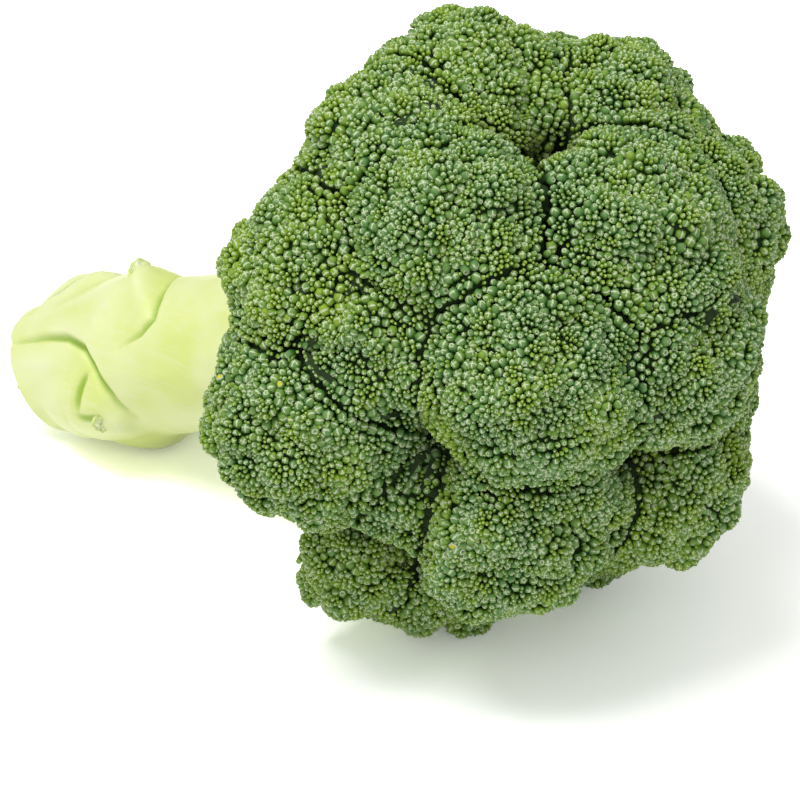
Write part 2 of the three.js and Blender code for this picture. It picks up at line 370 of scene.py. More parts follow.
# Broccoli stem skin, grown smooth under a thin bloom of wax: it shines softly and broadly and is
# yellow-green over pale flesh. It is painted lighter and whitish along its raised crests, a painted
# highlight, and a darker green down in its creases, painted shade.
# The fibres are 0.3 mm apart in the real one and drawn about 1 mm apart, so that they show.
FIBRE_SPACING = 1.1                 # mm
stem_skin, tree = new_finish("stem_skin_waxy")
drawn_out = add_node(tree, "ShaderNodeMapping", None, {
    "Vector": add_node(tree, "ShaderNodeTexCoord").outputs["Object"],
    "Rotation": (LYING_TILT, 0, 0),
    "Scale": (1 / FIBRE_SPACING / MM, 0.05 / FIBRE_SPACING / MM, 1 / FIBRE_SPACING / MM),
}).outputs[0]
fibre = add_node(tree, "ShaderNodeTexNoise", None, {
    "Vector": drawn_out, "Scale": 1.0, "Detail": 3.0, "Roughness": 0.6,
}).outputs["Fac"]
ground = laid_over(tree, eased(tree, patches(tree, 22, 2.0), 0.35, 0.65), "#e2ee8c", "#eef6b2")
streaks = add_node(tree, "ShaderNodeMapRange", None, {
    "Value": fibre, "From Min": 0.5, "From Max": 0.75, "To Max": 0.5,
}).outputs[0]
streaked = laid_over(tree, streaks, ground, "#f1f7c8")
# Painted highlight: a lighter, whitish colour along the raised crests of the folds and ridges.
crest = reckoned(tree, "POWER", attribute(tree, "raised"), 2.0)
painted_crest_highlight = laid_over(tree, reckoned(tree, "MULTIPLY", crest, 0.95), streaked, "#f0f7c4")
# Painted shade: a darker green down in the creases of the skin.
painted_crease_shade = eased(tree, attribute(tree, "creased"), 0.12, 0.95, 0.95)
surfaced(tree, laid_over(tree, painted_crease_shade, painted_crest_highlight, "#9fc03c"), 0.42, 1.42, {
    "Normal": relief(tree, fibre, 0.35, 0.12),
    "Subsurface Weight": 0.15, "Subsurface Radius": (1.0, 1.0, 0.4), "Subsurface Scale": 2.5 * MM,
})

# Stem flesh, cut with a knife: wet and crisp, cream-coloured in the pith, with a greener,
# glassy ring of fibres under the skin.
cut_flesh, tree = new_finish("stem_flesh_knife_cut")
grain = patches(tree, 1.2, 3.0)
rings = graded(tree, reckoned(tree, "MULTIPLY_ADD", grain, 0.12, attribute(tree, "from_pith")), (
    (0.0, "#f2f5d6"), (0.66, "#ebf2c4"), (0.78, "#c9dc8e"), (0.9, "#dfecab"), (1.0, "#b4ce5c"),
))
surfaced(tree, rings, 0.5, 1.36, {
    "Normal": relief(tree, grain, 0.6, 0.3),
    "Subsurface Weight": 0.2, "Subsurface Radius": (1.0, 1.0, 0.5), "Subsurface Scale": 2.5 * MM,
})

SKIN_COLUMNS = 180
BARE_END = -82                      # height where the stalk goes in among the florets
skin_rows = np.concatenate([
    np.arange(-STALK_LENGTH + 0.5, BARE_END, 0.6), np.arange(BARE_END, -32, 2.5),
    np.linspace(-32, HEAD_TOP - 0.2, 9),
])
turns = np.linspace(-90, 270, SKIN_COLUMNS, endpoint=False)
# The cut face goes from its middle out to the rim, and the skin from there to the head.
cut_rings = np.concatenate([np.linspace(0.04, 0.94, 10), [0.975, 0.995]])

row_heights = np.concatenate([
    np.full(len(cut_rings), -STALK_LENGTH), [-STALK_LENGTH + 0.15], skin_rows,
])
row_shares = np.concatenate([cut_rings, [1.0], np.ones(len(skin_rows))])
heights, all_turns = np.repeat(row_heights, SKIN_COLUMNS), np.tile(turns, len(row_heights))
shares = np.repeat(row_shares, SKIN_COLUMNS)
radii, creased, raised = skin(heights, all_turns)
dish = 0.5 * (1 - ramp(shares, 0.2, 0.75)) + 0.25 * (1 - ramp(np.abs(shares - 0.78), 0, 0.08))
sunk = np.where(shares < 1, dish, 0)
stalk_skin_places = on_stalk(heights + sunk, all_turns, radii * shares)
ends = np.array([
    crown_centre + (HEAD_TOP - 0.2) * growth,
    crown_centre + (-STALK_LENGTH + 0.5) * growth,
])
faces = woven(len(row_heights), SKIN_COLUMNS)
quads = len(faces)
last = (len(row_heights) - 1) * SKIN_COLUMNS
top_pole, cut_pole = len(heights), len(heights) + 1
for column in range(SKIN_COLUMNS):
    after = (column + 1) % SKIN_COLUMNS
    faces.append((last + column, last + after, top_pole))
    faces.append((after, column, cut_pole))
finish_of_face = np.zeros(len(faces), int)
finish_of_face[:len(cut_rings) * SKIN_COLUMNS] = 1
finish_of_face[quads + 1::2] = 1
stalk = new_piece(
    "stem", np.concatenate([stalk_skin_places, ends]), faces, [stem_skin, cut_flesh], finish_of_face,
)
in_the_cut = shares < 1
# These two only colour the skin: painted shade in the creases and a painted highlight on the raised
# crests.
mark(stalk, "creased", np.append(np.where(in_the_cut, 0, creased), [0, 0]))
mark(stalk, "raised", np.append(np.where(in_the_cut, 0, raised), [0, 0]))
mark(stalk, "from_pith", np.append(shares, [0, 0]))
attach(stalk, "root")
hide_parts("stalk")


# ---- The stubs of the leaves -------------------------------------------------------------
# What is left of each leaf's own stalk: an oval stub that leans towards the crown, torn or cut
# through a few millimetres above the skin. Its cut face is pale and fibrous inside a green rim.

STUB_LEAN = 0.45                    # radians from straight out towards the tip
STUB_OVAL = (1.15, 0.85)            # its width round the stalk and along it, in radii
TEAR_SLOPE = 0.3                    # the tear rises by this share of the radius
STUB_HEIGHT = 3.0                   # mm over the skin
STUB_SIDES = 28
# Rings: how far out along the stub, and the size there. The last ones dish the cut face.
STUB_RINGS = [(-3.4, 1.75), (-2.2, 1.5), (-1.2, 1.24), (0.0, 1.08), (1.0, 1.0), (1.9, 0.95),
              (2.25, 0.88), (2.35, 0.78), (2.25, 0.62), (2.2, 0.45), (2.25, 0.25), (2.25, 0.04)]
SKIN_RINGS = 6                      # the first of them are skin, the others cut flesh
# How wide each stub is (mm, radius) and how much of its height the tear has left.
STUB_SIZES = {"top": (3.3, 0.75), "front": (2.2, 0.3), "end": (2.0, 0.1), "under": (3.2, 1.0),
              "right": (2.7, 1.0)}
draw = np.random.default_rng(11)
for name, (size, left) in STUB_SIZES.items():
    turn = math.radians(LEAF_BASES[name][1])
    outward = math.cos(turn) * aside + math.sin(turn) * above
    sidelong = math.cos(turn + math.pi / 2) * aside + math.sin(turn + math.pi / 2) * above
    lean = math.cos(STUB_LEAN) * outward + math.sin(STUB_LEAN) * growth
    rootward = np.cross(lean, sidelong)
    low, high = (np.array(corner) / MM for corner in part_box("leaf_stub_" + name))
    middle = (low + high) / 2 - STUB_HEIGHT * (1 - left) * outward
    around_it = np.linspace(0, 2 * math.pi, STUB_SIDES, endpoint=False)
    ragged = 1 + 0.07 * np.sin(2 * around_it + draw.uniform(0, 6)) + 0.05 * np.sin(
        5 * around_it + draw.uniform(0, 6))
    places, depths = [], []
    for out, share in STUB_RINGS:
        torn = 0.4 * np.sin(3 * around_it + 2 * share) + 0.25 * np.sin(7 * around_it + 5 * share)
        for angle, rag, tear in zip(around_it, ragged, torn * (out > 1.2)):
            slope = TEAR_SLOPE * size * share * math.sin(angle) * (out > 0.5)
            place = middle + (out + tear - slope) * lean
            place = place + size * share * rag * (STUB_OVAL[0] * math.cos(angle) * sidelong
                                                  + STUB_OVAL[1] * math.sin(angle) * rootward)
            places.append(place)
            depths.append(share)
    faces = [face[::-1] for face in woven(len(STUB_RINGS), STUB_SIDES)]
    foot, face_middle = len(places), len(places) + 1
    places += [middle - 3.8 * lean, middle + 1.5 * lean]
    last = (len(STUB_RINGS) - 1) * STUB_SIDES
    stub_quads = len(faces)
    for side in range(STUB_SIDES):
        after = (side + 1) % STUB_SIDES
        faces.append((side, foot, after)[::-1])
        faces.append((last + side, last + after, face_middle)[::-1])
    finish_of_face = np.zeros(len(faces), int)
    finish_of_face[SKIN_RINGS * STUB_SIDES:stub_quads] = 1
    finish_of_face[stub_quads + 1::2] = 1
    stub = new_piece("leaf_stub_cut_" + name, places, faces, [stem_skin, cut_flesh], finish_of_face)
    # Painted shade: the stub's foot, where it meets the stalk, takes the darker crease green.
    mark(stub, "creased", np.append([0.6 * ramp(d, 1.0, 1.3) for d in depths], [0, 0]))
    mark(stub, "raised", np.zeros(len(places)))
    mark(stub, "from_pith", np.append([0.6 + 0.36 * ramp(d, 0.55, 0.92) for d in depths], [1, 0.6]))
    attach(stub, "root")
    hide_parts("leaf_stub_" + name)


# ---- The florets' bodies -----------------------------------------------------------------
# Under its buds each floret is a head of crowded branchlets. They part from the neck of the
# branch and end side by side, so that the head is a dome above and a ribbed cone below. It is
# made of bunches, and each bunch of rosettes: little umbrellas of about twenty buds.

SKIN_TO_BODY = 2.0                  # mm from the tips of the buds down to the body
CROWDING = 3.6                      # mm, how far neighbours swell to close the grooves between them
MOST_SWELLING = 7.0
OVERLAP = 7.0                       # and how far they grow into each other there
FULLNESS = 1.9                      # the buds' highest tips stand this far over the CAD dome
BUNCH_SPACING = 12.5
BUNCH_RELIEF = 2.1
ROSETTE_SPACING = 6.2
ROSETTE_RELIEF = 1.0
LEAST_RELIEF = 0.45                 # the share of both that is left where two florets meet
LOWEST_BUD = -0.38                  # how far under a dome its buds go: -1 is the neck
SIGHT = 13.0                        # mm, how far the open air round a place is felt
SKY_RAYS = 10
TABLE_GAP = 0.3                     # mm that everything stays over the table
DROP = 0.8                          # the body drops by this share of its overlap with a neighbour,
DROP_FROM = 1.5                     # from this many mm before their border
NECK_HOLLOW = 0.46                  # how far it draws in under the dome
RIB_DEPTH = 0.12                    # and how much less on the ribs that run up from the neck

names = sorted(n[len("floret_"):] for n in frame["nodes"] if n.startswith("floret_"))


def ball_of(subdivisions):
    """Ways out from a middle, and the triangles and edges between them."""
    ball = bmesh.new()
    bmesh.ops.create_icosphere(ball, subdivisions=subdivisions, radius=1.0)
    ways = np.array([v.co for v in ball.verts])
    faces = np.array([[v.index for v in f.verts] for f in ball.faces])
    edges = np.array([[v.index for v in e.verts] for e in ball.edges])
    ball.free()
    return ways, faces, edges


ball_ways, ball_faces, ball_edges = ball_of(5)
# The body itself needs only every fourth of the ways.
body_ways, body_faces, _ = ball_of(4)
of_body = (body_ways @ ball_ways.T).argmax(1)


def evened(values, rounds):
    """Values on the ball's vertices, each drawn towards the mean of its neighbours."""
    a, b = ball_edges.T
    count = np.bincount(a, minlength=len(values)) + np.bincount(b, minlength=len(values))
    for _ in range(rounds):
        total = np.bincount(a, values[b], len(values)) + np.bincount(b, values[a], len(values))
        values = (values + total / count) / 2
    return values


def unit(vectors):
    return vectors / np.maximum(np.linalg.norm(vectors, axis=-1, keepdims=True), 1e-9)


def normals_of(places, faces):
    """Smooth normals of a closed mesh."""
    a, b, c = (places[faces[:, i]] for i in range(3))
    of_face = np.cross(b - a, c - a)
    total = np.zeros(places.shape)
    for i in range(3):
        np.add.at(total, faces[:, i], of_face)
    return unit(total)


def open_air(tree_round_it, places, normals):
    """The share of the sky over each place that nothing blocks."""
    sky = []
    for i in range(SKY_RAYS):
        up, turn = 0.25 + 0.72 * (i + 0.5) / SKY_RAYS, 2.4 * i
        out = math.sqrt(1 - up * up)
        sky.append((out * math.cos(turn), out * math.sin(turn), up))
    helper = np.where(np.abs(normals[:, 2:]) < 0.9, [0.0, 0.0, 1.0], [1.0, 0.0, 0.0])
    first = unit(np.cross(normals, helper))
    second = np.cross(normals, first)
    starts = (places + 0.6 * normals).tolist()
    free = np.zeros(len(places))
    for x, y, z in sky:
        rays = (x * first + y * second + z * normals).tolist()
        free += [tree_round_it.ray_cast(s, r, SIGHT)[0] is None for s, r in zip(starts, rays)]
    return free / len(sky)


def spaced(places, spacing, draw):
    """Indices of places drawn at random, no two nearer to each other than the spacing."""
    taken, free = [], np.ones(len(places), bool)
    for i in draw.permutation(len(places)):
        if free[i]:
            taken.append(i)
            free &= np.linalg.norm(places - places[i], axis=1) > spacing
    return np.array(taken)


def off_centres(places, centres):
    """Each place's distance to its nearest centre, the way from that centre, and which it is."""
    apart = places[:, None] - centres[None]
    away = np.linalg.norm(apart, axis=2)
    which = away.argmin(1)
    at = np.arange(len(places))
    return away[at, which], apart[at, which], which


florets = {}
for number, name in enumerate(names):
    places, triangles = places_of("floret_" + name)
    a, b, c = (places[triangles[:, i]] for i in range(3))
    volumes = np.einsum("ij,ij->i", a, np.cross(b, c))
    heart = (volumes[:, None] * (a + b + c)).sum(0) / 4 / volumes.sum()
    axis = unit(heart - places_of("branch_" + name)[0].mean(0))
    own_tree = BVHTree.FromPolygons(places.tolist(), triangles.tolist())
    reach = np.array([own_tree.ray_cast(heart.tolist(), w)[3] for w in ball_ways.tolist()])
    reach = np.minimum(reach, evened(reach, 6))
    florets[name] = {"heart": heart, "axis": axis, "reach": reach, "up": ball_ways @ axis,
                     "number": number}


# Which of the ball's ways is nearest to each latitude and longitude, two degrees apart.
by_latitude, by_longitude = np.radians(np.arange(1, 180, 2)), np.radians(np.arange(-179, 180, 2))
latitude, longitude = np.meshgrid(by_latitude, by_longitude, indexing="ij")
globe = np.stack([np.sin(latitude) * np.cos(longitude), np.sin(latitude) * np.sin(longitude),
                  np.cos(latitude)], 2)
nearest_way = np.array([(row @ ball_ways.T).argmax(1) for row in globe])


def beyond(places, floret):
    """How far beyond a floret's CAD surface each place lies, seen from the floret's heart."""
    from_heart = places - floret["heart"]
    away = np.linalg.norm(from_heart, axis=-1)
    row = (np.degrees(np.arccos(np.clip(from_heart[..., 2] / away, -1, 1))) / 2).astype(int)
    column = (np.degrees(np.arctan2(from_heart[..., 1], from_heart[..., 0])) + 180) / 2
    row, column = np.clip(row, 0, 89), np.clip(column.astype(int), 0, 179)
    return away - floret["reach"][nearest_way[row, column]]


for floret in florets.values():
    near = [other for other in florets.values() if other is not floret and np.linalg.norm(
        other["heart"] - floret["heart"]) < floret["reach"].max() + other["reach"].max() + 10]
    low, high = floret["reach"], floret["reach"] + MOST_SWELLING
    for _ in range(11):
        middle = (low + high) / 2
        tried = floret["heart"] + ball_ways * middle[:, None]
        own = beyond(tried, floret)
        others = np.array([beyond(tried, other) for other in near])
        crowd = np.exp(-own / CROWDING) + np.exp(-others / CROWDING).sum(0)
        swollen = (crowd >= 1) & (own < others.min(0) + OVERLAP) & (tried[:, 2] > TABLE_GAP)
        low, high = np.where(swollen, middle, low), np.where(swollen, high, middle)
    tried = floret["heart"] + ball_ways * low[:, None]
    over_border = beyond(tried, floret) - np.array([beyond(tried, other) for other in near]).min(0)
    floret["over_border"] = np.clip(over_border, -20, OVERLAP)
    swelling = evened(low - floret["reach"], 1)
    over_the_table = (floret["heart"][2] - TABLE_GAP) / np.maximum(-ball_ways[:, 2], 1e-3)
    floret["outline"] = np.minimum(floret["reach"] + swelling + FULLNESS, over_the_table)
    floret["near"] = near
    floret["outside"] = floret["heart"] + ball_ways * floret["outline"][:, None]

outline_places, outline_faces = [], []
for floret in florets.values():
    outline_faces += (ball_faces + len(outline_places)).tolist()
    outline_places += floret["outside"].tolist()
stalk_places, triangles = places_of("stalk")
outline_faces += (triangles + len(outline_places)).tolist()
outline_places += stalk_places.tolist()
crown_tree = BVHTree.FromPolygons(outline_places, outline_faces)
for number, floret in enumerate(florets.values()):
    floret["normals"] = normals_of(floret["outside"], ball_faces)
    floret["air"] = evened(open_air(crown_tree, floret["outside"], floret["normals"]), 1)
    draw = np.random.default_rng(100 + number)
    budding = np.flatnonzero((floret["up"] > LOWEST_BUD) & (floret["air"] > 0.08))
    surface = floret["outside"][budding]
    floret["bunches"] = surface[spaced(surface, BUNCH_SPACING, draw)]
    floret["rosettes"] = surface[spaced(surface, ROSETTE_SPACING, draw)]
    floret["rosette_size"] = draw.uniform(0.84, 1.16, len(floret["rosettes"]))


def sunken(places, floret):
    """How far below the floret's outline its surface lies between bunches and rosettes, in mm."""
    off_bunch, off_rosette = (off_centres(places, floret[kind])[0] for kind in ("bunches", "rosettes"))
    bunch = np.minimum((off_bunch / (0.6 * BUNCH_SPACING)) ** 2, 1.4)
    rosette = np.minimum((off_rosette / (0.58 * ROSETTE_SPACING)) ** 2, 1.4)
    return BUNCH_RELIEF * bunch + ROSETTE_RELIEF * rosette


def spread_flat(piece, out, angle, rim_vertex, middle_vertex=None):
    """A disc as a piece's flat pattern: one vertex in its middle, and one that is its whole rim."""
    pattern = piece.data.uv_layers.new(name="OFBake")
    for face in piece.data.polygons:
        vertices = list(face.vertices)
        angles = [angle[v] for v in vertices if v not in (rim_vertex, middle_vertex)]
        if max(angles) - min(angles) > math.pi:
            angles = [a + 2 * math.pi * (a < 0) for a in angles]
        for loop, vertex in zip(face.loop_indices, vertices):
            far, turn = (0.49, sum(angles) / len(angles)) if vertex == rim_vertex else (
                out[vertex], angle[vertex])
            pattern.data[loop].uv = (0.5 + far * math.cos(turn), 0.5 + far * math.sin(turn))


def shallow(over_border):
    """How much of its relief a floret keeps: less where it runs into its neighbour."""
    return LEAST_RELIEF + (1 - LEAST_RELIEF) * ramp(-over_border, 0, 8)


# Broccoli branchlet skin, grown: smooth and slightly waxy, yellow-green and paler low down. Up
# between the buds it is painted dark green: painted shade in the gaps between the buds.
body_skin_and_painted_shade, tree = new_finish("branchlet_skin_under_buds")
shifted = reckoned(tree, "MULTIPLY_ADD", patches(tree, 3, 2.0), 0.25, attribute(tree, "below"))
surfaced(tree, graded(tree, shifted, (
    (0.1, "#1f3311"), (0.35, "#38561f"), (0.62, "#6f9440"), (0.95, "#a7c465"),
)), 0.8, 1.42)

for name, floret in florets.items():
    up, normals, outside = floret["up"][of_body], floret["normals"][of_body], floret["outside"][of_body]
    over = ramp(up, -0.55, -0.25)
    border = floret["over_border"][of_body]
    sink = SKIN_TO_BODY + sunken(outside, floret) * over * shallow(border)
    sink += DROP * np.maximum(border + DROP_FROM, 0)
    helper = unit(np.cross(floret["axis"], above + 0.3 * aside))
    other = np.cross(floret["axis"], helper)
    angle = np.arctan2(body_ways @ other, body_ways @ helper)
    ribs = 0.5 + 0.5 * np.cos(7 * angle + 2 * np.sin(2 * angle + floret["number"]))
    hollow = ramp(-up, 0.15, 0.7) * (NECK_HOLLOW - RIB_DEPTH * ribs)
    inward = outside - sink[:, None] * normals - floret["heart"]
    body = new_piece("cluster_" + name, floret["heart"] + inward * (1 - hollow)[:, None],
                     body_faces.tolist(), [body_skin_and_painted_shade])
    # Near 0 up under the buds, where the colour is the dark painted shade, and highest low down on the
    # ribs, where it is palest.
    mark(body, "below", ramp(-up, 0.2, 0.75) * (0.45 + 0.4 * ribs))
    # Its flat pattern for baking: a disc with the dome in the middle and the neck as the rim.
    neck = (body_ways @ -floret["axis"]).argmax()
    pole = -body_ways[neck]
    across = unit(np.cross(pole, above + 0.3 * aside))
    out = 0.49 * np.sqrt(np.clip((1 - body_ways @ pole) / 2, 0, 1))
    angle = np.arctan2(body_ways @ np.cross(pole, across), body_ways @ across)
    spread_flat(body, out, angle, neck)
    floret["body"] = body


# ---- The branches ------------------------------------------------------------------------
# Each floret stands on a short thick branch of the stalk: smooth, pale green, ribbed where the
# branchlets part from it. The branchlets splay and fork and carry the rosettes on their ends.

FORK_SIDES = 22
FORK_ROWS = 15
INSIDE_STALK = 7.0                  # mm, how much nearer to the cut it starts inside the stalk
FOOT_SPREAD = 0.3                   # how much wider it is where it leaves the stalk
NECK_RIBS = 0.16                    # how high its ribs are at the neck
INTO_FLORET = 3.0                   # mm
PRIMARIES = 7                       # branchlets, which all fork once
THICKEST, THINNEST = (1.6, 2.2), 0.7    # mm, their radius at the neck and at the end
BRANCHLET_SIDES = 6
BRANCHLET_STEPS = 8


def new_tree(name, inputs):
    """A Geometry Nodes tree with these inputs: the tree, its inputs' sockets and its input node's."""
    made = bpy.data.node_groups.new(name, "GeometryNodeTree")
    found = {}
    for input_name, kind in inputs.items():
        found[input_name] = made.interface.new_socket(
            input_name, in_out="INPUT", socket_type="NodeSocket" + kind)
    made.interface.new_socket("Grown", in_out="OUTPUT", socket_type="NodeSocketGeometry")
    return made, found, add_node(made, "NodeGroupInput").outputs


def held(tree, name, kind="FLOAT"):
    """What the points hold under this name."""
    return add_node(tree, "GeometryNodeInputNamedAttribute", {"data_type": kind}, {
        "Name": name}).outputs["Attribute"]


def grow(piece, tree, sockets, given):
    """Puts a tree on a piece and gives it its inputs."""
    growing = piece.modifiers.new(tree.name, "NODES")
    growing.node_group = tree
    for name, value in given.items():
        growing[sockets[name].identifier] = value


def keep_grown(pieces):
    """What the trees have made of these pieces becomes their own plain meshes."""
    bpy.context.view_layer.update()
    view = bpy.context.evaluated_depsgraph_get()
    meshes = [bpy.data.meshes.new_from_object(
        piece.evaluated_get(view), preserve_all_data_layers=True, depsgraph=view) for piece in pieces]
    for piece, mesh in zip(pieces, meshes):
        piece.modifiers.clear()
        piece.data = mesh
        mesh.name = piece.name


# The tree that sweeps the branchlets: a round, closed stem along each drawn line, as thick at
# each point as the point says, joined to the branch that they grow from.
sweeping_tree, sweep_sockets, given = new_tree("sweep_branchlets", {
    "Lines": "Geometry", "Branch": "Object", "Sides": "Int", "Skin": "Material"})
drawn = add_node(sweeping_tree, "GeometryNodeMeshToCurve", None, {"Mesh": given["Lines"]}).outputs[0]
section = add_node(sweeping_tree, "GeometryNodeCurvePrimitiveCircle", None, {
    "Resolution": given["Sides"], "Radius": 1.0}).outputs[0]
swept = add_node(sweeping_tree, "GeometryNodeCurveToMesh", None, {
    "Curve": drawn, "Profile Curve": section, "Scale": held(sweeping_tree, "thickness"),
    "Fill Caps": True}).outputs[0]
branch = add_node(sweeping_tree, "GeometryNodeObjectInfo", None, {
    "Object": given["Branch"]}).outputs["Geometry"]
joined = add_node(sweeping_tree, "GeometryNodeJoinGeometry")
sweeping_tree.links.new(swept, joined.inputs[0])
sweeping_tree.links.new(branch, joined.inputs[0])
real = add_node(sweeping_tree, "GeometryNodeRealizeInstances", None, {
    "Geometry": joined.outputs[0]}).outputs[0]
skinned = add_node(sweeping_tree, "GeometryNodeSetMaterial", None, {
    "Geometry": real, "Material": given["Skin"]}).outputs[0]
add_node(sweeping_tree, "NodeGroupOutput", None, {0: skinned})

# Branch skin, grown: smooth and slightly waxy like the stalk's, yellow-green low down and a
# deeper green up under the buds.
branch_skin, tree = new_finish("branch_skin_waxy")
shifted = reckoned(tree, "MULTIPLY_ADD", patches(tree, 5, 2.0), 0.2, attribute(tree, "along"))
surfaced(tree, graded(tree, shifted, (
    (0.1, "#d8e894"), (0.45, "#c4dc7c"), (0.75, "#a6c75c"), (1.0, "#84ac44"),
)), 0.45, 1.42)


def bow(start, middle, end, steps):
    """Places along a bow from start to end that is drawn towards the middle."""
    t = np.linspace(0, 1, steps)[:, None]
    return (1 - t) ** 2 * start + 2 * t * (1 - t) * middle + t * t * end


def under_dome(floret, splay, lift, beside, share):
    """A place at this share of a floret's outline, the branchlet's way but lifted or beside it."""
    way = unit(lift * floret["axis"] + splay + beside * np.cross(floret["axis"], splay))
    nearest = (ball_ways @ way).argmax()
    return floret["heart"] + way * floret["outline"][nearest] * share


for name, floret in florets.items():
    solid = places_of("branch_" + name)[0]
    draw = np.random.default_rng(900 + floret["number"])
    centre = solid.mean(0)
    _, _, ways = np.linalg.svd(solid - centre)
    axis = ways[0] * np.sign(ways[0] @ (floret["heart"] - centre))
    out = (solid - centre) @ axis
    width = np.linalg.norm(solid - centre - out[:, None] * axis, axis=1)
    third = (out.max() - out.min()) / 3
    foot_width = np.percentile(width[out < out.min() + third], 80)
    neck_width = np.percentile(width[out > out.max() - third], 80)
    first = unit(np.cross(axis, above + 0.2 * aside))
    second = np.cross(axis, first)
    neck_place = centre + (out.max() + INTO_FLORET) * axis
    # It curves out of the stalk: from a place inside it, a little nearer to the cut.
    leaving = centre + out.min() * axis
    height = (leaving - crown_centre) @ growth
    sideways = leaving - crown_centre - height * growth
    inner_place = crown_centre + (height - INSIDE_STALK) * growth + 0.4 * sideways
    angle = np.linspace(0, 2 * math.pi, FORK_SIDES, endpoint=False)
    rows = np.linspace(0, 1, FORK_ROWS)
    middles = bow(inner_place, leaving + 1.5 * axis, neck_place, len(rows))
    tangents = unit(np.gradient(middles, axis=0))
    places = []
    for t, middle, tangent in zip(rows, middles, tangents):
        plain = foot_width + (neck_width - foot_width) * t
        waist = 1 - 0.08 * math.sin(math.pi * t) + FOOT_SPREAD * (1 - ramp(t, 0, 0.55))
        ribbed = 1 + NECK_RIBS * ramp(t, 0.45, 1) * np.cos(5 * angle + floret["number"])
        ring = plain * waist * ribbed
        one = unit(first - (first @ tangent) * tangent)
        two = np.cross(tangent, one)
        places.append(middle + ring[:, None] * (np.cos(angle)[:, None] * one
                                                + np.sin(angle)[:, None] * two))
    places = np.concatenate(places + [[inner_place - tangents[0], neck_place + axis]])
    faces = woven(len(rows), FORK_SIDES)
    top_row, bottom_at, top_at = (len(rows) - 1) * FORK_SIDES, len(places) - 2, len(places) - 1
    for side in range(FORK_SIDES):
        after = (side + 1) % FORK_SIDES
        faces.append((after, side, bottom_at))
        faces.append((top_row + side, top_row + after, top_at))
    stem = new_piece("fork_stem_" + name, places, faces, [branch_skin])
    mark(stem, "along", np.append(np.repeat(rows, FORK_SIDES) * 0.6, [0, 0.6]))
    # The branchlets: from the neck to the rim of the dome, forking half way.
    line_places, line_edges, thickness, along_line = [], [], [], []
    neck = neck_place - 2.5 * axis
    for k in range(PRIMARIES):
        turn = 2 * math.pi * (k + draw.uniform(-0.2, 0.2)) / PRIMARIES
        splay = math.cos(turn) * first + math.sin(turn) * second
        forking = neck + 0.5 * (under_dome(floret, splay, -0.75, 0, 0.9) - neck)
        root = neck + 0.55 * neck_width * splay
        thick = draw.uniform(*THICKEST)
        for lift, beside, size in ((-0.05, -0.3, 1.0), (-0.1, 0.3, 0.9)):
            end = under_dome(floret, splay, lift, beside, 0.86)
            start = len(line_places)
            line_places += bow(root, forking + 1.5 * splay, end, BRANCHLET_STEPS).tolist()
            line_edges += [(start + i, start + i + 1) for i in range(BRANCHLET_STEPS - 1)]
            thickness += (size * np.linspace(thick, THINNEST, BRANCHLET_STEPS)).tolist()
            along_line += np.linspace(0.5, 1, BRANCHLET_STEPS).tolist()
    fork = new_piece("fork_" + name, line_places, [], edges=line_edges)
    mark(fork, "thickness", np.array(thickness) * MM)
    mark(fork, "along", along_line)
    grow(fork, sweeping_tree, sweep_sockets, {
        "Branch": stem, "Sides": BRANCHLET_SIDES, "Skin": branch_skin})
    floret["fork"], floret["stem"] = fork, stem

keep_grown([floret["fork"] for floret in florets.values()])
for name, floret in florets.items():
    fork = floret["fork"]
    fork.data.shade_smooth()
    bpy.data.objects.remove(floret["stem"])
    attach(fork, "root")
    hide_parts("branch_" + name)


# ---- The flower buds ---------------------------------------------------------------------
# Closed buds, 0.8 to 2.9 mm across, each wrapped in four sepals whose pale edges meet at its
# tip. The youngest, in the middle of a rosette, are tiny and yellow-green; the outer ones are
# plump, lean outwards and carry a blue-grey bloom of wax. A few have begun to show yellow.

SMALLEST_BUD = 0.47                 # mm, radius in the middle of a rosette
LARGEST_BUD = 1.1                   # and at its edge
UNLIKE = (0.78, 1.18)               # the least and the most that a bud differs from that
FINER_SIDE = 12.0                   # mm: past this far aside the buds are finer,
FINER = 0.88                        # by this share
# Florets whose buds are younger, with less of the blue bloom on them, and by how much.
YOUNGER = {"left_high": 0.4, "left_low": 0.05, "top": 0.25, "top_left": 0.3, "valley_left": 0.1,
           "upper_right": 0.2, "tip_right": 0.25, "right_high": 0.25, "rim_right": 0.3, "right": 0.25,
           "foot_left": 0.3, "foot_front": 0.25, "under_right": 0.2, "right_under": 0.2}
FINEST_BUD = 0.38                   # the smallest that fills a gap
STOUTEST_BUD = 1.3                  # and what no bud's radius goes past
TOUCHING = 0.83                     # seats are this share of the two radii apart
SWELLING = 1.1                      # buds swell until they press against each other
BUD_TIP = 1.3                       # height of a bud's tip over its seat, in radii
TRIES_PER_MM2 = 7
LONGEST = (0.95, 1.5)               # buds are this much longer than round ones
LEAN_OUT = 0.16                     # how much they lean out of their rosette
LEAN_ANY = 0.13                     # and any way
SEAM_PINCH = 0.84                   # the seams between the sepals lie in by this share
SEAM_DIP = 0.08                     # and down, next to the tip, in radii
YOUNG, THREE_EDGED = 0.62, 0.85     # mm, up to which radius a bud is of these kinds
SLIT_SHARE, CUPPED_SHARE, OPENING_SHARE = 0.45, 0.16, 0.0028    # of the larger buds
CUPPED_FROM, OPENING_FROM = 0.7, 0.8    # mm, the least radius of a bud of these two kinds
BLOOM = 0.3                         # the wax on any bud,
BLOOM_OF_LARGE = 0.55               # and how much more there is on a large one
BLOOM_PATCHES = 0.34                # how far it differs from one patch of the crown to the next,
BLOOM_UNLIKE = 0.2                  # and from one bud to the next
BLOOM_LOST_LOW = 0.75               # how much less there is low on a floret


